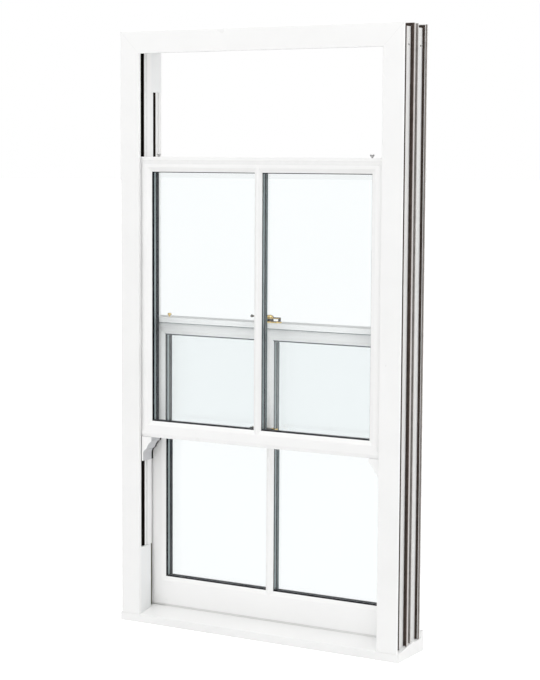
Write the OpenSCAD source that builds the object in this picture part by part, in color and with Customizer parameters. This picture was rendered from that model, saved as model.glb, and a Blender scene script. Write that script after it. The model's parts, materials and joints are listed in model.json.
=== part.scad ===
// Vertical sliding sash window in its box frame, built from hollow mitred lengths.
// X runs across the window, Y from the outside face to the room, Z upwards.
// The origin is at the middle of the underside of the cill.

/* [Frame] */
// Width across the two jambs
frame_w = 855; // [700:0.5:1000]
// Height of the frame above the front edge of the cill
frame_h = 1597; // [1300:1:1700]
// Width of the frame's outside face
face_w = 60; // [58:1:66]
// Thickness of the lip in front of the outer sash
lip_t = 9.5; // [9:0.5:10]
// Distance that the lip covers the outer track
lip_cover = 8.5; // [8:0.5:9]
// Distance that the inner track is set back behind the outer track
track_step = 8.5; // [8:0.5:9]

/* [Cill] */
// Height of the front face of the cill
cill_front_h = 23; // [20:1:28]
// Rise of the sloping top of the cill
cill_rise = 12.5; // [8:0.5:15]
// Height of the upstand behind the frame
upstand_h = 19.5; // [15:0.5:25]
// Thickness of the cap on each end of the cill
cap_t = 3; // [2:0.5:5]

/* [Sashes] */
// Thickness of both sashes
sash_d = 50; // [50:1:60]
// Width of the outer sash's stiles and top rail
outer_stile_w = 40; // [38:1:48]
// Height of the outer sash's meeting rail
outer_bottom_w = 45; // [44:1:50]
// Width of the inner sash's stiles and top rail
inner_stile_w = 48; // [46:1:54]
// Height of the inner sash's bottom rail
inner_bottom_w = 77.5; // [70:0.5:95]
// Width of the sloping glazing edge
slope_w = 12; // [10:1:14]
// Width of the glazing bars
bar_w = 22; // [20:1:26]
// Distance that the outer sash is let down from closed
lowered = 283; // [100:1:290]

/* [Glass] */
// Thickness of one pane
pane_t = 4; // [3:1:4]
// Width of the space between the panes
cavity = 16; // [12:0.2:19.2]

/* [Ironmongery] */
// Length of the arm of the fastener
arm_l = 56; // [45:1:65]
// Distance of each latch knob from the side of its sash
knob_in = 50; // [46:1:60]
// Diameter of the latch knobs
knob_d = 11; // [9:0.5:11.5]
// Travel of each latch
latch_travel = 10; // [8:1:11]

/* [Clearances] */
// Space between the outer sash and its track on each side
outer_clear = 1.6; // [1.2:0.1:2]
// Space between the inner sash and its track on each side
inner_clear = 2.1; // [1.5:0.1:2.5]
// Space around small parts that slide in each other
slide_clear = 0.1; // [0.05:0.05:0.2]

/* [Hidden] */
wall = 3;                 // wall of the hollow lengths
arris = 1;                // bevel on the visible corners
upstand_t = 15;
frame_d = 2 * sash_d + 35; // from the outside face to the room face
cill_d = frame_d + upstand_t;
place_y = -cill_d / 2;    // outside face of the frame
frame_top = cill_front_h + frame_h;
cill_top = cill_front_h + cill_rise;
slope_end = 76;           // depth at which the cill becomes level

// tracks: t is the distance in from the outside edge, v the depth from the face
track1_t = face_w - lip_cover;
track2_t = track1_t - track_step;
sash1_v = lip_t + 0.5;
sash2_v = sash1_v + sash_d + 18;
step_v = sash2_v - 4;
slot_w = 12.5;
slot_in = 16.8;           // depth of each slot behind the front of its sash
slot1_v = sash1_v + slot_in;
slot2_v = sash2_v + slot_in;
room_d = 22;              // depth of the balance space behind each slot
room_w = 26;
room1_v = slot1_v + slot_w / 2 - room_w / 2;
room2_v = slot2_v + slot_w / 2 - room_w / 2;
channel_d = 9;            // outer channels of the frame
channel1_v = [wall, sash2_v - 26.5];
channel2_v = [sash2_v + 0.5, frame_d - 16.5];
rib_groove_v = [sash2_v - 16, sash2_v - 2.5]; // groove between the two middle ribs
undercut = 5.5;           // undercut behind the back wall of each channel
brush_w = 4.4;
brush1_v = room1_v + room_w + 0.8;
brush2_v = room2_v + room_w + 4;

// half widths
half_w = frame_w / 2;
track1_x = half_w - track1_t;
track2_x = half_w - track2_t;
outer_x = track1_x - outer_clear;
inner_x = track2_x - inner_clear;
sight_x = outer_x - outer_stile_w;
inner_side_w = inner_x - sight_x;

// heights
inner_bottom_z = cill_top + 6;
inner_sight_z = inner_bottom_z + inner_bottom_w;
closed_top_z = frame_top - track1_t - outer_clear;
sight_h = (closed_top_z - outer_stile_w - inner_sight_z - inner_stile_w - 1.9) / 2;
inner_top_z = inner_sight_z + sight_h + inner_stile_w;
outer_top_z = closed_top_z - lowered;
outer_sight_z = outer_top_z - outer_stile_w - sight_h;
outer_bottom_z = outer_sight_z - outer_bottom_w;

// glazing
leg_t = 6;                // leg in front of the glass
gasket_t = 2;
rebate = 18;              // depth of the glazing rebate
glass_edge = 12;          // how far the glass reaches behind the glazing edge
pane1_v = leg_t + gasket_t;
pane2_v = pane1_v + pane_t + cavity;
bead_v = pane2_v + pane_t + gasket_t;
glass_back_v = pane2_v + pane_t;
bead_gap = 0.15;          // open joint between clipped-in glazing beads
spacer_in = 2;            // how far the spacer shows past the glazing edge

// stops
outer_stop_top_z = 209.5;
inner_stop_bottom_z = frame_top - 161;
stop_w = 45;

// balances
shoe_h = 60;
tube_l = sight_h - 9;
inner_lift = inner_stop_bottom_z - inner_top_z - 0.5;
outer_tube_z = outer_bottom_z + lowered + shoe_h + 12;
inner_tube_z = inner_bottom_z + inner_lift + shoe_h + 6.5;
tube_d = 16;
tube_wall = 2;
rod_d = 5;
room1_x = track1_x + wall + room_d - 0.5 - tube_d / 2;
room2_x = track2_x + wall + room_d - 0.5 - tube_d / 2;
room1_mid = room1_v + room_w / 2;
room2_mid = room2_v + room_w / 2;

// latches, measured from the top outer corner of each sash
latch_v = slot_in + slot_w / 2;
case_l = 78;
case_w = 16;
case_h = 14;
bolt_w = 10;
bolt_h = 8;
bolt_out = 9.5;
bolt_l = knob_in + 6 + bolt_out;

// fastener and keep
hub_x = -6;
hub_v = sash2_v + 14;
hub_d = 20;
plate_h = 3;
boss_h = 7;
nose_v = sash1_v + sash_d + 2.5;
tongue_l = hub_v - nose_v;
keep_t = 2;
keep_wall_h = inner_top_z + plate_h + boss_h - 0.6 - (inner_top_z + 1.9 + keep_t);

$fn = 48;

// ---- helpers ------------------------------------------------------------

// moves a piece drawn from the outside face to its place about the origin
module placed() {
    translate([0, place_y, 0]) children();
}

// draws its children on the left as they are and on the right mirrored
module both_sides() {
    children();
    mirror([1, 0, 0]) children();
}

// pushes an outline in X and Z through a depth
module through_depth(v0, v1) {
    translate([0, v1, 0]) rotate([90, 0, 0]) linear_extrude(v1 - v0) children();
}

// pushes an outline in depth and Z across the window
module across(x0, x1) {
    translate([x0, 0, 0]) rotate([90, 0, 90]) linear_extrude(x1 - x0) children();
}

// block from one corner to the opposite one
module block(a, b) {
    translate(a) cube(b - a);
}

// ---- frame --------------------------------------------------------------

// hollow section of the head and jambs
module frame_section() {
    difference() {
        polygon([[0, arris], [arris, 0], [face_w - arris, 0], [face_w, arris],
            [face_w, lip_t], [track1_t, lip_t], [track1_t, step_v], [track2_t, step_v],
            [track2_t, frame_d], [0, frame_d]]);
        // channels in the side that meets the wall, with undercut back walls
        for (c = [channel1_v, channel2_v]) {
            translate([-1, c[0]]) square([channel_d + 1, c[1] - c[0]]);
            translate([1.5, c[1] - 1]) square([channel_d - 1.5, undercut + 1]);
        }
        translate([-1, rib_groove_v[0]])
            square([channel_d + 1, rib_groove_v[1] - rib_groove_v[0]]);
        translate([channel_d - 1, channel1_v[0] + 15]) square([6, 6.5]);
        // slots and spaces for the balances
        for (s = [[track1_t, slot1_v, room1_v], [track2_t, slot2_v, room2_v]]) {
            translate([s[0] - wall - 1, s[1]]) square([wall + 2, slot_w]);
            translate([s[0] - wall - room_d, s[2]]) square([room_d, room_w]);
        }
        // grooves for the pile seals
        translate([track1_t - wall, brush1_v]) square([wall + 1, brush_w]);
        translate([track2_t - wall, brush2_v]) square([wall + 1, brush_w]);
        // closed chambers
        for (h = [[15, wall, track1_t - wall, room1_v - wall],
                [channel_d + wall, room1_v + 8, track1_t - 2 * wall - room_d, channel1_v[1] - wall],
                [channel_d + wall, channel1_v[1] + 2, track1_t - 2 * wall, step_v - wall],
                [15, step_v, track2_t - wall, room2_v - wall],
                [channel_d + wall, room2_v + 2, track2_t - 2 * wall - room_d, room2_v + room_w],
                [channel_d + wall, room2_v + room_w + wall, track2_t - 2 * wall,
                    frame_d - wall]])
            translate([h[0], h[1]]) square([h[2] - h[0], h[3] - h[1]]);
    }
}

// outline of the top of the cill, used by the cill and to cut the jambs to it
function cill_line() = [[-1, cill_front_h - cill_rise / slope_end], [0, cill_front_h],
    [slope_end, cill_top], [cill_d, cill_top]];

module jamb_left() {
    difference() {
        translate([-half_w, 0, 0]) linear_extrude(frame_top) frame_section();
        // mitre with the head
        through_depth(-1, frame_d + 1) polygon([[-half_w, frame_top],
            [-half_w + 2 * face_w, frame_top - 2 * face_w],
            [-half_w + 2 * face_w, frame_top + 1], [-half_w, frame_top + 1]]);
        // foot cut to the slope of the cill
        across(-half_w - 1, -half_w + face_w + 1)
            polygon(concat([[-1, -1]], cill_line(), [[cill_d, -1]]));
        // two fixing holes in the outer channels, and holes for the tube screws
        for (v = [42.5, 110.5]) translate([-half_w + channel_d - 1, v, frame_top - 54])
            rotate([0, 90, 0]) cylinder(d = 5.5, h = wall + 2);
        for (s = [[track1_t, room1_v, outer_tube_z], [track2_t, room2_v, inner_tube_z]])
            translate([-half_w + s[0] - 2 * wall - room_d - 1, s[1] + room_w / 2,
                s[2] + tube_l - 8]) rotate([0, 90, 0]) cylinder(d = 4, h = wall + 2);
    }
}

module frame_head() {
    color("white") placed() difference() {
        translate([-half_w, 0, frame_top]) rotate([0, 90, 0])
            linear_extrude(frame_w) frame_section();
        both_sides() through_depth(-1, frame_d + 1) polygon([[-half_w - 1, frame_top + 1],
            [-half_w + 2 * face_w, frame_top - 2 * face_w],
            [-half_w - 1, frame_top - 2 * face_w]]);
    }
}

module frame_jamb_left() {
    color("white") placed() jamb_left();
}

module frame_jamb_right() {
    color("white") placed() mirror([1, 0, 0]) jamb_left();
}

// ---- cill ---------------------------------------------------------------

module cill_outline() {
    polygon([[0, 0], [0, cill_front_h - arris], [arris, cill_front_h - arris / 4],
        [slope_end, cill_top], [frame_d, cill_top], [frame_d, cill_top + upstand_h],
        [cill_d, cill_top + upstand_h], [cill_d, 0]]);
}

module cill() {
    color("white") placed() across(-half_w, half_w) difference() {
        cill_outline();
        // three chambers with webs between them
        polygon([[wall, wall], [wall, cill_front_h - 4], [45, cill_front_h + 3], [45, wall]]);
        polygon([[48, wall], [48, cill_front_h + 3.5], [slope_end, cill_top - wall],
            [95, cill_top - wall], [95, wall]]);
        polygon([[98, wall], [98, cill_top - wall], [frame_d + wall, cill_top - wall],
            [frame_d + wall, cill_top + upstand_h - wall],
            [cill_d - wall, cill_top + upstand_h - wall], [cill_d - wall, wall]]);
    }
}

module cill_end_caps() {
    color("white") placed() both_sides()
        across(-half_w - cap_t, -half_w) cill_outline();
}

// ---- stops and seals ----------------------------------------------------

// stop at the top of the inner track, limiting how far the inner sash lifts
module inner_stop() {
    block([-track2_x, step_v, inner_stop_bottom_z],
        [-track1_x, step_v + stop_w + 4, frame_top - track2_t]);
}

// stop at the foot of the outer track, limiting how far the outer sash drops
module outer_stop() {
    difference() {
        block([-track1_x, lip_t, cill_front_h - 1],
            [-track1_x + lip_cover, lip_t + stop_w, outer_stop_top_z]);
        across(-half_w, 0) polygon(concat([[-1, -1]], cill_line(), [[cill_d, -1]]));
    }
}

module inner_sash_stop_left() {
    color("whitesmoke") placed() inner_stop();
}

module inner_sash_stop_right() {
    color("whitesmoke") placed() mirror([1, 0, 0]) inner_stop();
}

module outer_sash_stop_left() {
    color("whitesmoke") placed() outer_stop();
}

module outer_sash_stop_right() {
    color("whitesmoke") placed() mirror([1, 0, 0]) outer_stop();
}

module pile_seals() {
    seal_x = track1_x - 1;
    lip_seal = [lip_t, sash1_v + 3.9];
    color("dimgray") placed() {
        both_sides() {
            // against the front of the outer sash
            block([-seal_x, lip_seal[0], outer_stop_top_z + 1],
                [-seal_x + 4, lip_seal[1], frame_top - face_w]);
            // against the sides of the two sashes
            block([-track1_x - wall, brush1_v, outer_stop_top_z + 1],
                [-outer_x - 0.1, brush1_v + brush_w, frame_top - face_w]);
            block([-track2_x - wall, brush2_v, cill_top],
                [-inner_x - 0.1, brush2_v + brush_w, inner_stop_bottom_z - 1]);
        }
        // against the top of the closed outer sash
        block([-sight_x, lip_seal[0], frame_top - face_w + 1.6],
            [sight_x, lip_seal[1], frame_top - face_w + 6]);
    }
}

// ---- balances -----------------------------------------------------------

module balance_tube(x, v, z) {
    translate([-x, v, z]) difference() {
        cylinder(d = tube_d, h = tube_l);
        translate([0, 0, -1]) cylinder(d = tube_d - 2 * tube_wall, h = tube_l + 2);
        // screw hole at the back and a wider hole for the driver at the front
        translate([-tube_d, 0, tube_l - 8]) rotate([0, 90, 0]) cylinder(d = 4, h = tube_d);
        translate([0, 0, tube_l - 8]) rotate([0, 90, 0]) cylinder(d = 8.4, h = tube_d);
    }
}

module balance_tubes() {
    color("dimgray") placed() both_sides() {
        balance_tube(room1_x, room1_mid, outer_tube_z);
        balance_tube(room2_x, room2_mid, inner_tube_z);
    }
}

// screw inside the top of a balance tube, into the back of its space
module tube_screw(x, v, z) {
    translate([-x - 2.8, v, z + tube_l - 8]) rotate([0, -90, 0]) {
        cylinder(d = 4, h = tube_d / 2 + 0.5 + wall - 2.8);
        cylinder(d = 7, h = 2);
    }
}

module balance_tube_screws() {
    color("silver") placed() both_sides() {
        tube_screw(room1_x, room1_mid, outer_tube_z);
        tube_screw(room2_x, room2_mid, inner_tube_z);
    }
}

// block that runs in the balance space, with the arm that carries the sash
module balance_shoe(side_x, track_x, rod_x, v, z) {
    back_x = track_x + wall + room_d;
    difference() {
        union() {
            block([-back_x + 0.5, v - room_w / 2 + 0.5, z],
                [-track_x - wall - 0.5, v + room_w / 2 - 0.5, z + shoe_h]);
            block([-track_x - wall - 1, v - 5.5, z + 8], [-side_x, v + 5.5, z + 18]);
        }
        translate([-rod_x, v, z + shoe_h - 12]) cylinder(d = rod_d, h = 13);
    }
}

module balance_rod(x, v, z, l) {
    translate([-x, v, z]) cylinder(d = rod_d, h = l);
}

module outer_balance_shoes() {
    color("darkgray") placed() both_sides()
        balance_shoe(outer_x, track1_x, room1_x, room1_mid, outer_bottom_z + 1.5);
}

module outer_balance_rods() {
    color("silver") placed() both_sides()
        balance_rod(room1_x, room1_mid, outer_bottom_z + 1.5 + shoe_h - 12, tube_l - 12);
}

module inner_balance_shoes() {
    color("darkgray") placed() both_sides()
        balance_shoe(inner_x, track2_x, room2_x, room2_mid, inner_bottom_z + 1.5);
}

module inner_balance_rods() {
    color("silver") placed() both_sides()
        balance_rod(room2_x, room2_mid, inner_bottom_z + 1.5 + shoe_h - 12, tube_l - 12);
}

// ---- sash sections ------------------------------------------------------

// hollow section of a sash length: s is the distance out from the glazing edge,
// and cover is how much of its outer edge stands back behind the frame's lip
module sash_section(w, cover, bevel) {
    front = w - cover;
    difference() {
        polygon(concat([[0, leg_t], [0, leg_t - 1], [slope_w, 0], [front - bevel, 0],
            [front, bevel * 0.3]],
            cover > 0 ? [[front, 4], [w, 4]] : [],
            [[w, sash_d], [rebate, sash_d], [rebate, leg_t]]));
        sash_chambers(w);
    }
}

// one chamber in a narrow length, two in a deep one
module sash_chambers(w) {
    split = rebate + 27;
    ends = w > 60 ? [[rebate + wall, split], [split + wall, w - wall]]
        : [[rebate + wall, min(w - wall, rebate + wall + 24)]];
    for (e = ends) translate([e[0], leg_t + 2]) square([e[1] - e[0], sash_d - leg_t - 5]);
}

module bead_section() {
    polygon([[0, bead_v], [rebate, bead_v], [rebate, sash_d], [rebate / 2, sash_d],
        [0, bead_v + 8]]);
}

// outlines that cut a mitre from the glazing corner outwards
module mitre_off_stile(z_low, z_high) {
    far = 120;
    for (m = [[z_high, 1], [z_low, -1]]) polygon([[sight_x - 1, m[0] - m[1]],
        [sight_x + far, m[0] + far * m[1]], [sight_x - 1, m[0] + far * m[1]]]);
}

// gap is the open joint left at each end of a length
module mitre_off_rail(z, up, gap) {
    far = 120;
    polygon([[sight_x - 1 - gap, z - up], [sight_x + far - gap, z + far * up],
        [sight_x + far, z - up]]);
}

// an upright length on the right, between the glazing edges at z_low and z_high
module upright(z_low, z_high, below, above) {
    difference() {
        translate([sight_x, 0, z_low - below]) linear_extrude(z_high - z_low + below + above)
            children();
        through_depth(-1, sash_d + 1) mitre_off_stile(z_low, z_high);
    }
}

// a level length over (up = 1) or under (up = -1) the glazing edge at z
module level(z, half, up, gap = 0) {
    difference() {
        if (up > 0)
            translate([half, 0, z]) rotate([0, -90, 0]) linear_extrude(2 * half) children();
        else
            translate([-half, 0, z]) rotate([0, 90, 0]) linear_extrude(2 * half) children();
        both_sides() through_depth(-1, sash_d + 1) mitre_off_rail(z, up, gap);
    }
}

// pocket in the top of a sash for one latch, on the left
module latch_pocket(half, top) {
    block([-half - 1, latch_v - case_w / 2, top - case_h],
        [-half + case_l, latch_v + case_w / 2, top + 1]);
}

module sash_top_rail(z, half, w, cover, bevel) {
    difference() {
        level(z, half, 1) sash_section(w, cover, bevel);
        both_sides() latch_pocket(half, z + w);
    }
}

module sash_stile(z_low, z_high, half, w, cover, bevel, below, above) {
    difference() {
        upright(z_low, z_high, below, above) sash_section(w, cover, bevel);
        mirror([1, 0, 0]) latch_pocket(half, z_high + above);
    }
}

module glazing_beads(z_low, z_high) {
    level(z_high, sight_x + rebate, 1, bead_gap) bead_section();
    level(z_low, sight_x + rebate, -1, bead_gap) bead_section();
    both_sides() upright(z_low, z_high, rebate, rebate) bead_section();
}

// flat ring around the glass, from one distance outside the glazing edge to another
module glass_ring(z_low, z_high, inside, outside, v0, v1) {
    through_depth(v0, v1) difference() {
        translate([-sight_x - outside, z_low - outside])
            square([2 * (sight_x + outside), z_high - z_low + 2 * outside]);
        translate([-sight_x - inside, z_low - inside])
            square([2 * (sight_x + inside), z_high - z_low + 2 * inside]);
    }
}

module pane(z_low, z_high, v) {
    through_depth(v, v + pane_t) translate([-sight_x - glass_edge, z_low - glass_edge])
        square([2 * (sight_x + glass_edge), z_high - z_low + 2 * glass_edge]);
}

// edge spacer of the sealed unit and the two spacers behind the glazing bar
module spacers(z_low, z_high) {
    glass_ring(z_low, z_high, -spacer_in, 6, pane1_v + pane_t, pane2_v);
    both_sides() block([-bar_w / 2, pane1_v + pane_t, z_low + spacer_in],
        [-bar_w / 2 + 7, pane2_v, z_high - spacer_in]);
}

// outside glazing bar, with its ends scribed over the sloping glazing edge
module front_bar(z_low, z_high) {
    difference() {
        translate([0, 0, z_low - slope_w]) linear_extrude(z_high - z_low + 2 * slope_w)
            polygon([[-bar_w / 2, pane1_v], [-bar_w / 2, leg_t - 0.5], [-3.2, 0], [3.2, 0],
                [bar_w / 2, leg_t - 0.5], [bar_w / 2, pane1_v]]);
        for (e = [[z_low, -1], [z_high, 1]]) {
            across(-bar_w, bar_w) polygon([[leg_t - 1, e[0]], [0, e[0] + slope_w * e[1]],
                [0, e[0] + 2 * slope_w * e[1]], [pane1_v + 1, e[0] + 2 * slope_w * e[1]],
                [pane1_v + 1, e[0] - 0.8 * e[1]], [leg_t, e[0] - 0.8 * e[1]], [leg_t, e[0]]]);
        }
    }
}

// room-side glazing bar between the beads
module back_bar(z_low, z_high) {
    translate([0, glass_back_v, z_low + 0.8]) linear_extrude(z_high - z_low - 1.6)
        polygon([[-bar_w / 2, 0], [-bar_w / 2, 2.5], [-4, 9], [4, 9], [bar_w / 2, 2.5],
            [bar_w / 2, 0]]);
}

// ---- latches ------------------------------------------------------------

// case let into the top of the sash on the left, with its bolt channel and knob slot
module latch_case(half, top) {
    translate([-half, latch_v, top]) difference() {
        block([0, -case_w / 2, -case_h], [case_l, case_w / 2, 0]);
        block([-1, -bolt_w / 2 - slide_clear, -3.5 - bolt_h - 2 * slide_clear],
            [knob_in + 6 + latch_travel + 2, bolt_w / 2 + slide_clear, -3.5]);
        block([knob_in - 2.8, -2.7, -4], [knob_in + latch_travel + 2.8, 2.7, 1]);
    }
}

module latch_bolt(half, top) {
    translate([-half, latch_v, top - 3.5 - slide_clear - bolt_h])
        block([-bolt_out, -bolt_w / 2, 0], [bolt_l - bolt_out, bolt_w / 2, bolt_h]);
}

// round knob on a neck that rises through the slot
module latch_knob(half, top) {
    r = knob_d / 2;
    translate([-half + knob_in, latch_v, top - 3.5 - slide_clear]) rotate_extrude()
        polygon([[0, 0], [2.5, 0], [2.5, 6], [r - 1.2, 7], [r, 8.2], [r, 11], [r - 1, 12.3],
            [r - 2.6, 13], [0, 13.2]]);
}

// ---- outer sash ---------------------------------------------------------

outer_high_z = outer_sight_z + sight_h;
outer_bevel = 10;

// lifts a piece drawn from the front of its sash to the depth of that sash
module in_outer() {
    placed() translate([0, sash1_v, 0]) children();
}

module outer_top_rail() {
    color("white") in_outer()
        sash_top_rail(outer_high_z, outer_x, outer_stile_w, lip_cover, outer_bevel);
}

module outer_meeting_rail() {
    color("white") in_outer() difference() {
        level(outer_sight_z, outer_x, -1) sash_section(outer_bottom_w, 0, outer_bevel);
        // ends cut back to run behind the lips of the jambs
        both_sides() block([-outer_x - 1, -1, outer_bottom_z - 1],
            [-outer_x + lip_cover, 4, outer_sight_z]);
    }
}

module outer_stile() {
    sash_stile(outer_sight_z, outer_high_z, outer_x, outer_stile_w, lip_cover, outer_bevel,
        outer_bottom_w, outer_stile_w);
}

module outer_stile_left() {
    color("white") in_outer() mirror([1, 0, 0]) outer_stile();
}

module outer_stile_right() {
    color("white") in_outer() outer_stile();
}

module outer_glazing_beads() {
    color("white") in_outer() glazing_beads(outer_sight_z, outer_high_z);
}

module outer_front_gasket() {
    color("dimgray") in_outer()
        glass_ring(outer_sight_z, outer_high_z, -0.8, 6, leg_t, pane1_v);
}

module outer_back_gasket() {
    color("dimgray") in_outer()
        glass_ring(outer_sight_z, outer_high_z, -0.8, 6, glass_back_v, bead_v);
}

module outer_front_pane() {
    color("lightcyan", 0.3) in_outer() pane(outer_sight_z, outer_high_z, pane1_v);
}

module outer_back_pane() {
    color("lightcyan", 0.3) in_outer() pane(outer_sight_z, outer_high_z, pane2_v);
}

module outer_spacers() {
    color("silver") in_outer() spacers(outer_sight_z, outer_high_z);
}

module outer_front_bar() {
    color("white") in_outer() front_bar(outer_sight_z, outer_high_z);
}

module outer_back_bar() {
    color("white") in_outer() back_bar(outer_sight_z, outer_high_z);
}

// decorative horn under the left stile: an ogee that ends in a narrow strip
module horn_left() {
    edge = outer_x - lip_cover;
    wide = edge - sight_x;
    through_depth(0, sash_d) translate([-edge, outer_bottom_z]) polygon(concat(
        [[0, 0], [0, -68], [4, -68], [4, -50]],
        [for (a = [0 : 15 : 75]) [4 + 11 * (1 - cos(a)), -50 + 15 * sin(a)]],
        [for (a = [15 : 15 : 90]) [wide - 1.5 - 16 * cos(a), -14 - 21 * cos(a) * cos(a)]],
        [[wide, -10], [wide, 0]]));
}

module outer_horn_left() {
    color("white") in_outer() horn_left();
}

module outer_horn_right() {
    color("white") in_outer() mirror([1, 0, 0]) horn_left();
}

// hook on the back of the meeting rail, open upwards
module outer_interlock() {
    foot = outer_bottom_z + 3;
    half = outer_x - 2.4;
    color("white") in_outer() across(-half, half)
        polygon([[sash_d, foot], [sash_d, foot + 20], [sash_d + 2, foot + 20],
            [sash_d + 2, foot + 16], [sash_d + 12.5, foot + 16], [sash_d + 12.5, foot + 34],
            [sash_d + 14.5, foot + 34], [sash_d + 14.5, foot + 14], [sash_d + 2, foot + 14],
            [sash_d + 2, foot]]);
}

// keep on the ledge of the meeting rail, with the wall that the fastener draws on
module keep() {
    color("gold") in_outer() difference() {
        translate([0, 0, outer_sight_z]) {
            // base, with a wedge that fits the sloping back of the bead
            across(-43, 35) polygon([[bead_v + 7.2, 0], [bead_v + 8, 0], [sash_d, -9],
                [sash_d + 7.5, 0], [sash_d + 7.5, keep_t], [bead_v + 7.2, keep_t]]);
            block([-20, sash_d + 5, keep_t - 0.5], [0, sash_d + 7.5, keep_t + keep_wall_h]);
        }
        for (x = keep_screw_x) translate([x, keep_screw_v, outer_sight_z - 12])
            cylinder(d = 3.5, h = 15);
    }
}

keep_screw_x = [-32, 24];
keep_screw_v = bead_v + 10 + (sash_d - bead_v - 8) / 2;

module keep_screws() {
    color("gold") in_outer() for (x = keep_screw_x)
        translate([x, keep_screw_v, outer_sight_z - 4]) {
            cylinder(d = 3.5, h = keep_t + 4);
            translate([0, 0, keep_t + 4]) cylinder(d1 = 6.5, d2 = 5, h = 1.2);
        }
}

module outer_latch_cases() {
    color("white") in_outer() both_sides() latch_case(outer_x, outer_top_z);
}

module outer_bolt_left() {
    color("gainsboro") in_outer() latch_bolt(outer_x, outer_top_z);
}

module outer_bolt_right() {
    color("gainsboro") in_outer() mirror([1, 0, 0]) latch_bolt(outer_x, outer_top_z);
}

module outer_knob_left() {
    color("white") in_outer() latch_knob(outer_x, outer_top_z);
}

module outer_knob_right() {
    color("white") in_outer() mirror([1, 0, 0]) latch_knob(outer_x, outer_top_z);
}

// ---- inner sash ---------------------------------------------------------

inner_high_z = inner_sight_z + sight_h;
inner_bevel = 8;

module in_inner() {
    placed() translate([0, sash2_v, 0]) children();
}

module inner_top_rail() {
    color("white") in_inner()
        sash_top_rail(inner_high_z, inner_x, inner_stile_w, 0, 2);
}

module inner_bottom_rail() {
    color("white") in_inner()
        level(inner_sight_z, inner_x, -1) sash_section(inner_bottom_w, 0, 3);
}

module inner_stile() {
    sash_stile(inner_sight_z, inner_high_z, inner_x, inner_side_w, 0, inner_bevel,
        inner_bottom_w, inner_stile_w);
}

module inner_stile_left() {
    color("white") in_inner() mirror([1, 0, 0]) inner_stile();
}

module inner_stile_right() {
    color("white") in_inner() inner_stile();
}

module inner_glazing_beads() {
    color("white") in_inner() glazing_beads(inner_sight_z, inner_high_z);
}

module inner_front_gasket() {
    color("dimgray") in_inner()
        glass_ring(inner_sight_z, inner_high_z, -0.8, 6, leg_t, pane1_v);
}

module inner_back_gasket() {
    color("dimgray") in_inner()
        glass_ring(inner_sight_z, inner_high_z, -0.8, 6, glass_back_v, bead_v);
}

module inner_front_pane() {
    color("lightcyan", 0.3) in_inner() pane(inner_sight_z, inner_high_z, pane1_v);
}

module inner_back_pane() {
    color("lightcyan", 0.3) in_inner() pane(inner_sight_z, inner_high_z, pane2_v);
}

module inner_spacers() {
    color("silver") in_inner() spacers(inner_sight_z, inner_high_z);
}

module inner_front_bar() {
    color("white") in_inner() front_bar(inner_sight_z, inner_high_z);
}

module inner_back_bar() {
    color("white") in_inner() back_bar(inner_sight_z, inner_high_z);
}

// hook on the front of the top rail, open downwards, which meets the outer sash's hook
module inner_interlock() {
    top = inner_top_z;
    half = outer_x - 2.4;
    color("white") in_inner() across(-half, half)
        polygon([[0, top - 23], [0, top], [-9, top], [-9, top - 16], [-7, top - 16],
            [-7, top - 2], [-2, top - 2], [-2, top - 23]]);
}

module inner_bottom_seal() {
    color("dimgray") in_inner()
        block([-sight_x, 1.5, cill_top + 0.2], [sight_x, 9.5, inner_bottom_z]);
}

module inner_latch_cases() {
    color("white") in_inner() both_sides() latch_case(inner_x, inner_top_z);
}

module inner_bolt_left() {
    color("gainsboro") in_inner() latch_bolt(inner_x, inner_top_z);
}

module inner_bolt_right() {
    color("gainsboro") in_inner() mirror([1, 0, 0]) latch_bolt(inner_x, inner_top_z);
}

module inner_knob_left() {
    color("gold") in_inner() latch_knob(inner_x, inner_top_z);
}

module inner_knob_right() {
    color("gold") in_inner() mirror([1, 0, 0]) latch_knob(inner_x, inner_top_z);
}

// ---- fastener -----------------------------------------------------------

fastener_screw_x = [-24, 24];

module fastener_plate() {
    color("gold") placed() translate([hub_x, hub_v, inner_top_z]) difference() {
        union() {
            block([-24, -hub_d / 2 - 1, 0], [24, hub_d / 2 + 1, plate_h]);
            for (x = fastener_screw_x) translate([x, 0, 0])
                cylinder(d = hub_d + 2, h = plate_h);
            cylinder(d = hub_d, h = plate_h + boss_h);
        }
        translate([0, 0, 1]) cylinder(d = 6 + 2 * 0.05, h = plate_h + boss_h);
        for (x = fastener_screw_x) translate([x, 0, -1]) cylinder(d = 4, h = plate_h + 2);
    }
}

module fastener_screws() {
    color("gold") placed() for (x = fastener_screw_x)
        translate([hub_x + x, hub_v, inner_top_z]) {
            cylinder(d = 4, h = plate_h);
            translate([0, 0, plate_h]) cylinder(d1 = 8, d2 = 6, h = 1.4);
        }
}

// hub with its arm to the left, and the tongue with a nose that turns on to the keep
module fastener_lever() {
    base = plate_h + boss_h + 0.1;
    color("gold") placed() translate([hub_x, hub_v, inner_top_z]) {
        translate([0, 0, 1.1]) cylinder(d = 6, h = base);
        translate([0, 0, base]) rotate_extrude() polygon(concat([[0, 0], [hub_d / 2, 0]],
            [for (a = [0 : 15 : 75]) [hub_d / 2 * cos(a), 4 + 6.5 * sin(a)]], [[0, 10.5]]));
        block([0, -4, base], [tongue_l + 2, 4, base + 4]);
        block([tongue_l - 1.5, -4, base - boss_h + 1.5], [tongue_l + 2, 4, base + 1]);
        // tapered arm that ends in a ball
        translate([0, 0, base + 4.6]) rotate([0, -90, 0]) rotate_extrude()
            polygon(concat([[0, 5], [3, 5], [2, arm_l - 3.5]],
                [for (a = [-60 : 15 : 75]) [4 * cos(a), arm_l + 4 * sin(a)]],
                [[0, arm_l + 4]]));
    }
}

// ---- parts --------------------------------------------------------------

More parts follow.
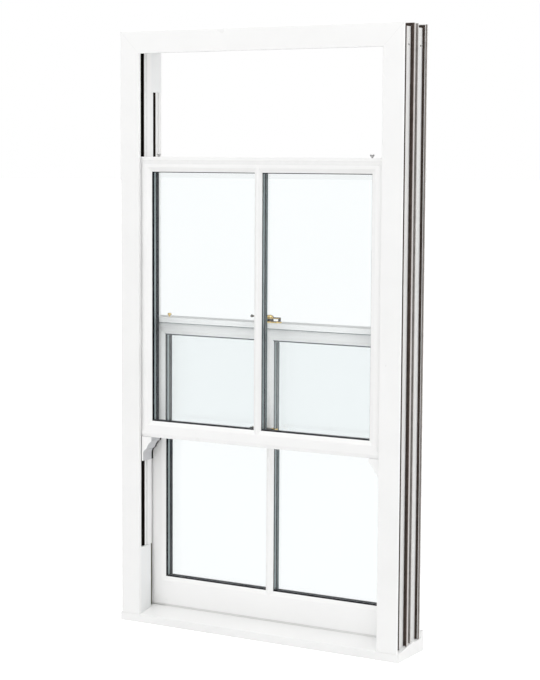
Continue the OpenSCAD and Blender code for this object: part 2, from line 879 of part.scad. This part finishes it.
frame_head();
frame_jamb_left();
frame_jamb_right();
cill();
cill_end_caps();
inner_sash_stop_left();
inner_sash_stop_right();
outer_sash_stop_left();
outer_sash_stop_right();
pile_seals();
balance_tubes();
balance_tube_screws();
outer_top_rail();
outer_meeting_rail();
outer_stile_left();
outer_stile_right();
outer_glazing_beads();
outer_front_gasket();
outer_back_gasket();
outer_front_pane();
outer_back_pane();
outer_spacers();
outer_front_bar();
outer_back_bar();
outer_horn_left();
outer_horn_right();
outer_interlock();
keep();
keep_screws();
outer_latch_cases();
outer_balance_shoes();
outer_balance_rods();
outer_bolt_left();
outer_bolt_right();
outer_knob_left();
outer_knob_right();
inner_top_rail();
inner_bottom_rail();
inner_stile_left();
inner_stile_right();
inner_glazing_beads();
inner_front_gasket();
inner_back_gasket();
inner_front_pane();
inner_back_pane();
inner_spacers();
inner_front_bar();
inner_back_bar();
inner_interlock();
inner_bottom_seal();
inner_latch_cases();
inner_balance_shoes();
inner_balance_rods();
inner_bolt_left();
inner_bolt_right();
inner_knob_left();
inner_knob_right();
fastener_plate();
fastener_screws();
fastener_lever();
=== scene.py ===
"""Sash window: finishes, fine details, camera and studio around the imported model."""
import json
import math

import bpy
import numpy as np
from mathutils import Matrix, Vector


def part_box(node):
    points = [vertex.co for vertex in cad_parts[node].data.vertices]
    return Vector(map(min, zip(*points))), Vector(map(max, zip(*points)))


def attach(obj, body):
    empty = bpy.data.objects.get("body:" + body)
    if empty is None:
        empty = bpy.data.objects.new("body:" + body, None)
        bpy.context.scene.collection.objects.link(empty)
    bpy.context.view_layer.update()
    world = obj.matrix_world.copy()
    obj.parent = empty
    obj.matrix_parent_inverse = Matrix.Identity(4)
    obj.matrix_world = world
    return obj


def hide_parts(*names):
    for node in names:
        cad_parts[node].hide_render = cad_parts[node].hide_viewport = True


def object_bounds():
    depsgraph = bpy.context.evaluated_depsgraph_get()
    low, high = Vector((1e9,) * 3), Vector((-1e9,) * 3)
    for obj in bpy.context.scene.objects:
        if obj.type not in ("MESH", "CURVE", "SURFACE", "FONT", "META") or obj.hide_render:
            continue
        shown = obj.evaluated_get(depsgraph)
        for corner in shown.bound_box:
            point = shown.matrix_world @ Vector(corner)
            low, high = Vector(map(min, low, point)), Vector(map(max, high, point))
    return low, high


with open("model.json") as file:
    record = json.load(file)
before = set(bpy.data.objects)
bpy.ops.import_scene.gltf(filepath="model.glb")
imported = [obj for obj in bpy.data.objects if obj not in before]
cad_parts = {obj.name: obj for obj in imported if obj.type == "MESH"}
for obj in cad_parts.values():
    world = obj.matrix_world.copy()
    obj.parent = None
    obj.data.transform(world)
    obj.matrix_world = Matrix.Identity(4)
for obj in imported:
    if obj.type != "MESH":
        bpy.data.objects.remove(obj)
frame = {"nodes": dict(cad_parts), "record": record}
nodes = frame["nodes"]
cad_low, cad_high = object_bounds()

EDGE = 0.4275                   # side of the frame, from its middle
TOP = 1.62                      # top of the head
FACE = -0.075                   # outside face of the frame
SASH1, SASH2 = -0.065, 0.003    # front of the outer and of the inner sash


# ---------------------------------------------------------------- materials

def new_material(name):
    """An empty node material with a Principled shader joined to its output."""
    material = bpy.data.materials.new(name)
    material.use_nodes = True
    tree = material.node_tree
    tree.nodes.clear()
    shader = tree.nodes.new("ShaderNodeBsdfPrincipled")
    output = tree.nodes.new("ShaderNodeOutputMaterial")
    tree.links.new(shader.outputs["BSDF"], output.inputs["Surface"])
    return material, tree, shader


def noise(tree, scale, detail=3.0, stretch=(1, 1, 1), roughness=0.5):
    """Noise over the piece's own coordinates, stretched along its axes."""
    coords = tree.nodes.new("ShaderNodeTexCoord")
    mapping = tree.nodes.new("ShaderNodeMapping")
    mapping.inputs["Scale"].default_value = stretch
    texture = tree.nodes.new("ShaderNodeTexNoise")
    texture.inputs["Scale"].default_value = scale
    texture.inputs["Detail"].default_value = detail
    texture.inputs["Roughness"].default_value = roughness
    tree.links.new(coords.outputs["Object"], mapping.inputs["Vector"])
    tree.links.new(mapping.outputs["Vector"], texture.inputs["Vector"])
    return texture.outputs["Fac"]


def ramp(tree, factor, stops):
    """Colours by factor: stops are (place, colour)."""
    node = tree.nodes.new("ShaderNodeValToRGB")
    elements = node.color_ramp.elements
    while len(elements) < len(stops):
        elements.new(0.5)
    for element, (place, colour) in zip(elements, stops):
        element.position = place
        element.color = (*colour, 1.0)
    tree.links.new(factor, node.inputs["Fac"])
    return node.outputs["Color"]


def levels(tree, factor, low, high):
    """Factor carried from 0..1 to low..high."""
    node = tree.nodes.new("ShaderNodeMapRange")
    node.inputs["To Min"].default_value = low
    node.inputs["To Max"].default_value = high
    tree.links.new(factor, node.inputs["Value"])
    return node.outputs["Result"]


def bump(tree, shader, height, strength, distance):
    """Small relief from a height."""
    node = tree.nodes.new("ShaderNodeBump")
    node.inputs["Strength"].default_value = strength
    node.inputs["Distance"].default_value = distance
    tree.links.new(height, node.inputs["Height"])
    tree.links.new(node.outputs["Normal"], shader.inputs["Normal"])


def moulded_plastic(name, pale, dark, rough=(0.24, 0.36), relief=0.02):
    """Extruded or moulded plastic: faint cloudy tone, gloss that varies, and fine grain."""
    material, tree, shader = new_material(name)
    clouds = noise(tree, 6.0, 4.0)
    colour = ramp(tree, clouds, [(0.3, dark), (0.7, pale)])
    tree.links.new(colour, shader.inputs["Base Color"])
    tree.links.new(levels(tree, noise(tree, 14.0, 3.0), *rough), shader.inputs["Roughness"])
    shader.inputs["IOR"].default_value = 1.5
    bump(tree, shader, noise(tree, 900.0, 2.0), 0.25, relief * 0.001)
    return material


def within(tree, value, low, high):
    """1 where a value lies between two limits, else 0."""
    node = tree.nodes.new("ShaderNodeMath")
    node.operation = "COMPARE"
    node.inputs[1].default_value = (low + high) / 2
    node.inputs[2].default_value = (high - low) / 2
    tree.links.new(value, node.inputs[0])
    return node.outputs[0]


def joined(tree, operation, first, second):
    """Two values joined by a maths operation."""
    node = tree.nodes.new("ShaderNodeMath")
    node.operation = operation
    tree.links.new(first, node.inputs[0])
    tree.links.new(second, node.inputs[1])
    return node.outputs[0]


def places(tree):
    """The piece's own X, Y and Z, "side", the distance from the middle of the window, and
    "mitre", the side less Z, which is the same all along a mitre at a top corner."""
    coords = tree.nodes.new("ShaderNodeTexCoord")
    split = tree.nodes.new("ShaderNodeSeparateXYZ")
    tree.links.new(coords.outputs["Object"], split.inputs["Vector"])
    side = tree.nodes.new("ShaderNodeMath")
    side.operation = "ABSOLUTE"
    tree.links.new(split.outputs["X"], side.inputs[0])
    return {"X": split.outputs["X"], "Y": split.outputs["Y"], "Z": split.outputs["Z"],
            "side": side.outputs[0],
            "mitre": joined(tree, "SUBTRACT", side.outputs[0], split.outputs["Z"])}


def zone(tree, where, limits):
    """1 inside a block given by its limits in metres along some of the places, else 0."""
    mask = None
    for axis, (low, high) in limits.items():
        part = within(tree, where[axis], low, high)
        mask = part if mask is None else joined(tree, "MULTIPLY", mask, part)
    return mask


def painted(tree, colour, mask, tone):
    """A colour with a second tone where the mask is 1, mottled if it is dark."""
    spread = 0.02 if min(tone) > 0.4 else 0.18
    pair = [(0.3, tuple((1 - spread) * c for c in tone)),
            (0.7, tuple((1 + spread) * c for c in tone))]
    mix = tree.nodes.new("ShaderNodeMix")
    mix.data_type = "RGBA"
    tree.links.new(mask, mix.inputs["Factor"])
    tree.links.new(colour, mix.inputs["A"])
    tree.links.new(ramp(tree, noise(tree, 60.0, 4.0), pair), mix.inputs["B"])
    return mix.outputs["Result"]


WHITE = (0.90, 0.90, 0.895), (0.87, 0.87, 0.865)
# the same white painted lighter for the inner sash, to make up for the shade it stands in
PAINTED_LIGHT_WHITE = (0.955, 0.955, 0.95), (0.93, 0.93, 0.925)
# tones for painted shade in slots, undercuts, channels, ribs and holes
BLACK = (0.014, 0.012, 0.010)
BROWN = (0.105, 0.082, 0.072)
DARK = (0.15, 0.135, 0.125)
DIM = (0.27, 0.25, 0.238)
FLOOR_SHADE = (0.70, 0.70, 0.69)
SHADE = (0.55, 0.53, 0.515)
SEALANT = (0.007, 0.009, 0.014)


def zoned_plastic(name, pale, dark, zones, rough=(0.24, 0.36)):
    """White plastic with other tones painted inside given blocks. They are painted shade in
    slots and undercuts and along edges, a painted highlight on the frame's outside corner, and seals,
    lines and steps that have no shape of their own."""
    material, tree, shader = new_material(name)
    where = places(tree)
    colour = ramp(tree, noise(tree, 6.0, 4.0), [(0.3, dark), (0.7, pale)])
    dull = None
    for limits, tone in zones:
        mask = zone(tree, where, limits)
        colour = painted(tree, colour, mask, tone)
        dull = mask if dull is None else joined(tree, "MAXIMUM", dull, mask)
    tree.links.new(colour, shader.inputs["Base Color"])
    tree.links.new(levels(tree, dull, 0.5, 0.02), shader.inputs["Specular IOR Level"])
    tree.links.new(levels(tree, noise(tree, 14.0, 3.0), *rough), shader.inputs["Roughness"])
    shader.inputs["IOR"].default_value = 1.5
    bump(tree, shader, noise(tree, 900.0, 2.0), 0.25, 0.00002)
    return material


def section_zones(axis, edge):
    """Zones of the hollow frame section. axis runs through the section and edge is its
    outer edge; t is the distance in from that edge and v the depth, both in mm."""
    blocks = (
        # painted shade in the two spaces for the balances
        ((22, 49.2), (18.5, 47.5), BLACK), ((14, 40.7), (86.5, 115.5), BLACK),
        # painted shade in the undercuts and on the floors of the two side channels
        ((1.3, 9.4), (51.7, 57.6), BROWN), ((1.3, 9.4), (118.7, 124.6), BROWN),
        ((8.6, 9.2), (28, 51.6), FLOOR_SHADE), ((8.6, 9.2), (78.4, 118.6), FLOOR_SHADE),
        # painted shade in the pocket in the first channel's floor, and on the floor beside it
        ((9.3, 15), (17.4, 25.2), BLACK), ((8.6, 9.4), (24.4, 29), BROWN),
        # painted shade in the groove between the middle ribs, then on the outer faces of those ribs
        ((0.5, 9.4), (62.2, 75.8), DIM),
        ((-1, 0.3), (51.4, 62.1), SHADE), ((-1, 0.3), (75.4, 78.6), SHADE),
        ((-1, 1.6), (51.4, 54), BROWN),
        # painted shade on the outer face behind the second channel
        ((-1, 0.3), (118.4, 124.5), DARK), ((-1, 0.3), (124.4, 129), DIM),
        # a painted highlight on the bevel of the outside corner
        ((-1, 1.2), (-1, 1.2), (0.95, 0.95, 0.95)),
        # painted shade on the sides of the two balance slots, then black on 5 mm of track in front of
        # the first slot, which makes it look wider than it is cut
        ((47, 51.3), (26.6, 39.7), BROWN), ((39, 42.8), (94.6, 107.7), BROWN),
        ((51.2, 51.9), (21.8, 26.9), BLACK))
    return [({axis: (edge - t[1] / 1000, edge - t[0] / 1000),
              "Y": (v[0] / 1000 + FACE, v[1] / 1000 + FACE)}, tone) for t, v, tone in blocks]


def unit_metal(name, node):
    """Edge spacer of a sealed unit: dull metal between two black lines of sealant,
    and black along its level lengths, which are seen edge on."""
    low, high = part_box(node)
    front = low[1]
    material, tree, shader = new_material(name)
    where = places(tree)
    colour = ramp(tree, noise(tree, 25.0, 3.0, (1, 1, 0.06)),
                  [(0.3, (0.20, 0.25, 0.255)), (0.7, (0.36, 0.42, 0.43))])
    middle = zone(tree, where, {"Y": (front + 0.0052, front + 0.0062)})
    colour = painted(tree, colour, middle, (0.10, 0.12, 0.12))
    sealant = zone(tree, where, {"Y": (front - 0.001, front + 0.0024)})
    for limits in ({"Y": (front + 0.0100, front + 0.017)},
                   {"Z": (low[2] - 0.001, low[2] + 0.0085)},
                   {"Z": (high[2] - 0.0085, high[2] + 0.001)}):
        sealant = joined(tree, "MAXIMUM", sealant, zone(tree, where, limits))
    colour = painted(tree, colour, sealant, SEALANT)
    tree.links.new(colour, shader.inputs["Base Color"])
    metal = tree.nodes.new("ShaderNodeMath")
    metal.operation = "SUBTRACT"
    metal.inputs[0].default_value = 0.9
    tree.links.new(sealant, metal.inputs[1])
    metal.use_clamp = True
    tree.links.new(metal.outputs[0], shader.inputs["Metallic"])
    tree.links.new(levels(tree, sealant, 0.5, 0.02), shader.inputs["Specular IOR Level"])
    tree.links.new(levels(tree, noise(tree, 220.0, 3.0), 0.3, 0.45), shader.inputs["Roughness"])
    bump(tree, shader, noise(tree, 700.0, 2.0), 0.2, 0.00003)
    return material


def polished_metal(name, bright, deep, rough=(0.08, 0.2), scratches=(1, 1, 30)):
    """Polished or drawn metal with fine scratches and a slightly uneven tone."""
    material, tree, shader = new_material(name)
    shader.inputs["Metallic"].default_value = 1.0
    tree.links.new(ramp(tree, noise(tree, 90.0, 4.0), [(0.3, deep), (0.7, bright)]),
                   shader.inputs["Base Color"])
    tree.links.new(levels(tree, noise(tree, 220.0, 3.0, scratches), *rough),
                   shader.inputs["Roughness"])
    bump(tree, shader, noise(tree, 500.0, 2.0, scratches), 0.15, 0.00002)
    return material


def pile_material():
    """Short grey pile: fine streaks of darker and paler fibre."""
    material, tree, shader = new_material("woven pile")
    fibres = noise(tree, 1500.0, 3.0, (1, 1, 0.25))
    tree.links.new(ramp(tree, fibres, [(0.3, (0.70, 0.70, 0.695)), (0.7, (0.84, 0.84, 0.835))]),
                   shader.inputs["Base Color"])
    shader.inputs["Roughness"].default_value = 0.95
    shader.inputs["Sheen Weight"].default_value = 0.3
    bump(tree, shader, fibres, 0.6, 0.0003)
    return material


def glass_material(name):
    """Clear float glass: sharp reflections from its own shader, and clear to lamps,
    so that what is behind it is lit. The tint is faint and barely uneven."""
    material, tree, shader = new_material(name)
    tint = ramp(tree, noise(tree, 3.0, 2.0),
                [(0.2, (0.964, 0.979, 0.981)), (0.8, (0.971, 0.985, 0.987))])
    tree.links.new(tint, shader.inputs["Base Color"])
    shader.inputs["Roughness"].default_value = 0.0
    shader.inputs["IOR"].default_value = 1.5
    shader.inputs["Transmission Weight"].default_value = 1.0
    clear = tree.nodes.new("ShaderNodeBsdfTransparent")
    faint = ramp(tree, noise(tree, 3.0, 2.0),
                 [(0.2, (0.99, 0.99, 0.99)), (0.8, (1.0, 1.0, 1.0))])
    tree.links.new(faint, clear.inputs["Color"])
    path = tree.nodes.new("ShaderNodeLightPath")
    either = joined(tree, "MAXIMUM", path.outputs["Is Shadow Ray"], path.outputs["Is Diffuse Ray"])
    mix = tree.nodes.new("ShaderNodeMixShader")
    output = next(n for n in tree.nodes if n.type == "OUTPUT_MATERIAL")
    tree.links.new(either, mix.inputs["Fac"])
    tree.links.new(shader.outputs["BSDF"], mix.inputs[1])
    tree.links.new(clear.outputs["BSDF"], mix.inputs[2])
    tree.links.new(mix.outputs["Shader"], output.inputs["Surface"])
    return material


white = moulded_plastic("white frame plastic", *WHITE)
sash_white = moulded_plastic("white sash plastic", (0.91, 0.91, 0.905), (0.88, 0.88, 0.875))
# painted light: the inner sash's white is lighter than the frame's
inner_white = moulded_plastic("white inner sash plastic", *PAINTED_LIGHT_WHITE)
stop_grey = moulded_plastic("stop block plastic", (0.86, 0.87, 0.87), (0.83, 0.84, 0.84),
                            (0.4, 0.55), relief=0.05)
case_white = moulded_plastic("latch plastic", (0.84, 0.84, 0.83), (0.80, 0.80, 0.79), (0.3, 0.45))
shoe_grey = moulded_plastic("shoe nylon", (0.52, 0.52, 0.53), (0.45, 0.45, 0.46),
                            (0.45, 0.6), relief=0.06)
tube_black = moulded_plastic("balance tube plastic", (0.06, 0.06, 0.065), (0.04, 0.04, 0.045),
                             (0.35, 0.5))
# the hairline where head and jamb meet at a corner
MITRE = ({"mitre": (EDGE - TOP - 0.0003, EDGE - TOP + 0.0003), "Y": (-0.08, -0.064)},
         (0.74, 0.74, 0.735))
jamb_zones = section_zones("side", EDGE) + [MITRE]
# a dark strip on the track behind each lower stop block, then painted shade inside the two fixing holes
for limits, tone in (
        ({"side": (0.3755, 0.3768), "Y": (-0.0058, -0.0005), "Z": (0.0, 0.2095)}, (0.075, 0.070, 0.050)),
        ({"side": (0.404, 0.4183), "Y": (-0.0375, -0.0275), "Z": (1.560, 1.572)}, BLACK),
        ({"side": (0.404, 0.4183), "Y": (0.0305, 0.0405), "Z": (1.560, 1.572)}, BLACK)):
    jamb_zones.append((limits, tone))
jamb_white = zoned_plastic("white jamb plastic", *WHITE, jamb_zones)
head_white = zoned_plastic("white head plastic", *WHITE, section_zones("Z", TOP) + [MITRE])


def bead_zones(front):
    """The edge of the glazing beads against the glass, painted black 8 mm deep."""
    return [({"Y": (front + 0.0335, front + 0.0424)}, SEALANT)]


outer_bead = zoned_plastic("outer bead plastic", *WHITE, bead_zones(SASH1))
inner_bead = zoned_plastic("inner bead plastic", *PAINTED_LIGHT_WHITE, bead_zones(SASH2))
inner_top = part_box("inner_top_rail")[1][2]
# the lowest 2 mm of the rail, painted dark for its shade and the gasket's edge
rail_white = zoned_plastic("inner rail plastic", *PAINTED_LIGHT_WHITE, [
    ({"Z": (inner_top - 0.0484, inner_top - 0.0462)}, (0.10, 0.13, 0.145))])
outer_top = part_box("outer_top_rail")[1][2]
# painted shade: a faint darker band across the front of the rail
top_white = zoned_plastic("outer rail plastic", *WHITE, [
    ({"Z": (outer_top - 0.0190, outer_top - 0.0084), "Y": (SASH1 - 0.001, SASH1 + 0.0045)},
     (0.77, 0.77, 0.765))])
# painted shade on the two side faces of a room-side bar
bar_white = zoned_plastic("glazing bar plastic", *WHITE, [
    ({"side": (0.0104, 0.0112)}, (0.13, 0.17, 0.175))])
# painted shade: a dark line along the hook's lower edge
hook_white = zoned_plastic("interlock plastic", *PAINTED_LIGHT_WHITE, [
    ({"Z": (inner_top - 0.0165, inner_top - 0.0143)}, (0.12, 0.15, 0.165))])
outer_spacer = unit_metal("outer spacer aluminium", "outer_spacers")
inner_spacer = unit_metal("inner spacer aluminium", "inner_spacers")


def horn_plastic():
    """Moulded horn with a white front. Its shaped side is painted a mid grey for shade, and its
    back edge black for the shadow behind it."""
    material, tree, shader = new_material("moulded horn plastic")
    colour = ramp(tree, noise(tree, 6.0, 4.0), [(0.3, (0.88, 0.88, 0.875)), (0.7, (0.91, 0.91, 0.905))])
    # painted shade on the shaped side
    body = zone(tree, places(tree), {"Y": (SASH1 + 0.0008, SASH1 + 0.060)})
    colour = painted(tree, colour, body, (0.52, 0.525, 0.54))
    # a painted black shadow along the back edge
    back = zone(tree, places(tree), {"Y": (SASH1 + 0.042, SASH1 + 0.060)})
    colour = painted(tree, colour, back, (0.008, 0.008, 0.009))
    tree.links.new(levels(tree, back, 0.5, 0.02), shader.inputs["Specular IOR Level"])
    tree.links.new(colour, shader.inputs["Base Color"])
    tree.links.new(levels(tree, noise(tree, 14.0, 3.0), 0.3, 0.45), shader.inputs["Roughness"])
    bump(tree, shader, noise(tree, 900.0, 2.0), 0.25, 0.00003)
    return material


horn_white = horn_plastic()


def zoned_brass(name, zones):
    """Polished brass with dark bronze painted inside given blocks, which stands for shade
    and dark reflections under and behind its parts."""
    material, tree, shader = new_material(name)
    where = places(tree)
    colour = ramp(tree, noise(tree, 90.0, 4.0), [(0.3, (0.78, 0.53, 0.17)), (0.7, (0.93, 0.70, 0.30))])
    for limits, tone in zones:
        colour = painted(tree, colour, zone(tree, where, limits), tone)
    tree.links.new(colour, shader.inputs["Base Color"])
    shader.inputs["Metallic"].default_value = 1.0
    tree.links.new(levels(tree, noise(tree, 220.0, 3.0), 0.10, 0.24), shader.inputs["Roughness"])
    bump(tree, shader, noise(tree, 500.0, 2.0), 0.15, 0.00002)
    return material


# painted shade and dark reflections on the brass
BRASS_SHADE = (0.045, 0.030, 0.016)
lever_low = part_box("fastener_lever")[0]
plate_low, plate_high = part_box("fastener_plate")
lever_brass = zoned_brass("fastener brass", [
    ({"X": (lever_low[0] - 0.001, lever_low[0] + 0.012)}, BRASS_SHADE),
    ({"Z": (plate_low[2], plate_high[2] + 0.0012)}, BRASS_SHADE),
    ({"Z": (plate_high[2] + 0.0030, plate_high[2] + 0.0042)}, BRASS_SHADE)])
plate_brass = zoned_brass("plate brass", [
    ({"Z": (plate_low[2] + 0.0032, plate_high[2] + 0.001)}, BRASS_SHADE)])
keep_low, keep_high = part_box("keep")
keep_brass = zoned_brass("keep brass", [
    ({"X": (keep_low[0] - 0.001, keep_high[0] - 0.006), "Y": (keep_low[1] - 0.001, keep_high[1] - 0.0006)},
     BRASS_SHADE)])
pale_rubber = moulded_plastic("pale seal rubber", (0.80, 0.80, 0.79), (0.74, 0.74, 0.73),
                              (0.5, 0.65), relief=0.08)
rubber = moulded_plastic("black gasket rubber", (0.014, 0.016, 0.022), (0.008, 0.010, 0.015),
                         (0.55, 0.7), relief=0.08)
brass = polished_metal("polished brass", (0.93, 0.70, 0.30), (0.78, 0.53, 0.17))
steel = polished_metal("drawn steel", (0.72, 0.72, 0.73), (0.58, 0.58, 0.6), (0.2, 0.35))
spacer_metal = polished_metal("spacer aluminium", (0.60, 0.64, 0.66), (0.50, 0.54, 0.56), (0.35, 0.5))
knob_silver = polished_metal("satin silver", (0.80, 0.80, 0.80), (0.70, 0.70, 0.70), (0.25, 0.35))
rubber.node_tree.nodes["Principled BSDF"].inputs["Specular IOR Level"].default_value = 0.12
pile = pile_material()
glass = glass_material("float glass")

finish_of_slot = {"white_plastic": white, "stop_plastic": stop_grey, "glass": glass,
                  "gasket": rubber, "pale_seal": pale_rubber, "pile": pile,
                  "spacer": spacer_metal, "tube": tube_black,
                  "steel": steel, "shoe": shoe_grey, "brass": brass}
finish_of_node = {"frame_head": head_white, "outer_top_rail": top_white,
                  "inner_top_rail": rail_white, "inner_interlock": hook_white,
                  "fastener_lever": lever_brass, "fastener_plate": plate_brass,
                  "keep": keep_brass}
for part in frame["record"]["subparts"]:
    piece = nodes[part["node"]]
    finish = finish_of_slot[part["material_slot"]]
    if finish is white and part["node"].startswith("outer_"):
        finish = sash_white
    if finish is white and part["node"].startswith("inner_"):
        finish = inner_white
    if part["node"].startswith("frame_jamb"):
        finish = jamb_white
    if "latch_cases" in part["node"]:
        finish = case_white
    if part["node"].endswith("glazing_beads"):
        finish = outer_bead if part["node"].startswith("outer") else inner_bead
    if part["node"].endswith("spacers"):
        finish = outer_spacer if part["node"].startswith("outer") else inner_spacer
    finish = finish_of_node.get(part["node"], finish)
    if "horn" in part["node"]:
        finish = horn_white
    if part["node"].startswith("outer_knob"):
        finish = knob_silver
    piece.data.materials.clear()
    piece.data.materials.append(finish)


# ---------------------------------------------------------------- details

def carried(name, rings):
    """A closed outline carried straight between two rings of points: a face joins each edge
    of the first ring to the same edge of the second, and one face closes each end."""
    count = len(rings[0])
    index = np.arange(count)
    after = (index + 1) % count
    sides = np.column_stack([index, after, after + count, index + count])
    caps = [index[::-1].tolist(), (index + count).tolist()]
    mesh = bpy.data.meshes.new(name)
    mesh.from_pydata(np.vstack(rings).tolist(), [], sides.tolist() + caps)
    piece = bpy.data.objects.new(name, mesh)
    bpy.context.scene.collection.objects.link(piece)
    return piece


def upright_bar(name, node, body):
    """Room-side glazing bar: a square-backed outline in X and Y with its two back corners
    rounded, 1.5 mm in quarter turns, carried up Z through the height of the CAD bar."""
    low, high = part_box(node)
    radius = 0.0015
    turn = np.linspace(0, math.pi / 2, 5)
    right = np.column_stack([high[0] - radius + radius * np.cos(turn),
                             high[1] - radius + radius * np.sin(turn)])
    left = right[::-1] * (-1, 1) + (low[0] + high[0], 0)
    outline = np.vstack([[(high[0], low[1])], right, left, [(low[0], low[1])]])
    piece = carried(name, [np.column_stack([outline, np.full(len(outline), z)])
                           for z in (low[2], high[2])])
    piece.data.materials.append(bar_white)
    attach(piece, body)
    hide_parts(node)


upright_bar("outer_room_bar", "outer_back_bar", "outer_sash")
upright_bar("inner_room_bar", "inner_back_bar", "inner_sash")

# the foot seal carried on to each end of the inner sash
seal_low, seal_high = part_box("inner_bottom_seal")
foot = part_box("inner_bottom_rail")
turn = np.linspace(math.pi, 2 * math.pi, 9)
mid_y, half_y = (seal_low[1] + seal_high[1]) / 2, (seal_high[1] - seal_low[1]) / 2
lip = [(mid_y + half_y * math.cos(a), seal_low[2] + 0.0025 + 0.0025 * math.sin(a)) for a in turn]
outline = np.array(lip + [(seal_high[1], seal_high[2] - 0.00005),
                          (seal_low[1], seal_high[2] - 0.00005)], float)
for label, ends in (("left", (foot[0][0] + 0.002, seal_low[0] - 0.0002)),
                    ("right", (seal_high[0] + 0.0002, foot[1][0] - 0.002))):
    end_seal = carried("foot_seal_" + label,
                       [np.column_stack([np.full(len(outline), x), outline]) for x in ends])
    end_seal.data.materials.append(pale_rubber)
    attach(end_seal, "inner_sash")


# ---------------------------------------------------------------- studio

def flat_sheet(name, x, y, z):
    """A level rectangle from its x and y limits at height z, facing up."""
    mesh = bpy.data.meshes.new(name)
    corners = [(x[0], y[0], z), (x[1], y[0], z), (x[1], y[1], z), (x[0], y[1], z)]
    mesh.from_pydata(corners, [], [(0, 1, 2, 3)])
    sheet = bpy.data.objects.new(name, mesh)
    bpy.context.scene.collection.objects.link(sheet)
    return sheet


floor = flat_sheet("floor", (-90, 90), (-90, 90), cad_low[2] - 0.0005)
floor_finish, floor_tree, floor_shader = new_material("pale floor")
floor_tone = ramp(floor_tree, noise(floor_tree, 0.6, 2.0),
                  [(0.3, (0.965, 0.965, 0.965)), (0.7, (0.975, 0.975, 0.975))])
floor_shader.inputs["Roughness"].default_value = 0.9
floor_shader.inputs["Emission Color"].default_value = (1.0, 1.0, 1.0, 1.0)
floor_path = floor_tree.nodes.new("ShaderNodeLightPath")
floor_seen = joined(floor_tree, "MAXIMUM", floor_path.outputs["Is Camera Ray"],
                    floor_path.outputs["Is Transmission Ray"])
floor_colour = painted(floor_tree, floor_tone, floor_path.outputs["Is Glossy Ray"],
                       (0.05, 0.05, 0.05))
floor_tree.links.new(floor_colour, floor_shader.inputs["Base Color"])
floor_tree.links.new(levels(floor_tree, floor_seen, 0.06, 1.0),
                     floor_shader.inputs["Emission Strength"])
floor.data.materials.append(floor_finish)


def area_light(name, place, target, size, power):
    """A soft square light at a place, turned towards a target."""
    data = bpy.data.lights.new(name, "AREA")
    data.shape = "SQUARE"
    data.size = size
    data.energy = power
    lamp = bpy.data.objects.new(name, data)
    bpy.context.scene.collection.objects.link(lamp)
    lamp.location = place
    way = np.array(target, float) - np.array(place, float)
    lamp.rotation_euler = (math.atan2(math.hypot(way[0], way[1]), -way[2]), 0,
                           math.atan2(way[1], way[0]) - math.pi / 2)


area_light("key light", (-3.2, -4.2, 3.4), (0, 0, 0.9), 3.2, 17)
area_light("front light", (0.4, -6.0, 1.4), (0, 0, 0.9), 3.0, 12)
area_light("side light", (5.0, 1.6, 1.4), (0, 0, 0.9), 2.5, 62)
area_light("top light", (0.6, -1.2, 5.0), (0, 0, 0.9), 3.0, 88)

world = bpy.data.worlds.new("studio")
world.use_nodes = True
sky_tree = world.node_tree
sky = sky_tree.nodes["Background"]
sky.inputs["Color"].default_value = (1.0, 1.0, 1.0, 1.0)
sky.inputs["Strength"].default_value = 0.755
backdrop = sky_tree.nodes.new("ShaderNodeBackground")
backdrop.inputs["Color"].default_value = (1.0, 1.0, 1.0, 1.0)
backdrop.inputs["Strength"].default_value = 1.0
sight = sky_tree.nodes.new("ShaderNodeLightPath")
sky_seen = joined(sky_tree, "MAXIMUM", sight.outputs["Is Camera Ray"],
                  sight.outputs["Is Transmission Ray"])
sky_mix = sky_tree.nodes.new("ShaderNodeMixShader")
sky_tree.links.new(sky_seen, sky_mix.inputs["Fac"])
# what polished metal reflects: dark walls to the height of a person, soft light above
heading = sky_tree.nodes.new("ShaderNodeTexCoord")
height = sky_tree.nodes.new("ShaderNodeSeparateXYZ")
sky_tree.links.new(heading.outputs["Generated"], height.inputs["Vector"])
walls = ramp(sky_tree, levels(sky_tree, height.outputs["Z"], 0.0, 1.0),
             [(0.0, (0.02, 0.02, 0.02)), (0.42, (0.02, 0.02, 0.02)), (0.62, (1.0, 1.0, 1.0))])
reflected = sky_tree.nodes.new("ShaderNodeBackground")
reflected.inputs["Strength"].default_value = 0.9
sky_tree.links.new(walls, reflected.inputs["Color"])
shine = sky_tree.nodes.new("ShaderNodeMixShader")
sky_tree.links.new(sight.outputs["Is Glossy Ray"], shine.inputs["Fac"])
sky_tree.links.new(sky.outputs["Background"], shine.inputs[1])
sky_tree.links.new(reflected.outputs["Background"], shine.inputs[2])
sky_tree.links.new(shine.outputs["Shader"], sky_mix.inputs[1])
sky_tree.links.new(backdrop.outputs["Background"], sky_mix.inputs[2])
sky_tree.links.new(sky_mix.outputs["Shader"], sky_tree.nodes["World Output"].inputs["Surface"])
bpy.context.scene.world = world
bpy.context.scene.view_settings.view_transform = "Standard"

camera_data = bpy.data.cameras.new("camera")
camera_data.sensor_width = 36.0
camera_data.lens = 1837.3 * 36.0 / 680.0
camera_data.clip_end = 100.0
camera = bpy.data.objects.new("camera", camera_data)
bpy.context.scene.collection.objects.link(camera)
camera.location = (2.46402, -4.19572, 1.28500)
camera.rotation_mode = "XYZ"
camera.rotation_euler = (math.pi / 2 - 0.099284, 0.0, 0.5305064)
roll = Matrix.Rotation(0.0054001, 3, "Z")
camera.rotation_euler = (camera.rotation_euler.to_matrix() @ roll).to_euler()
bpy.context.scene.camera = camera
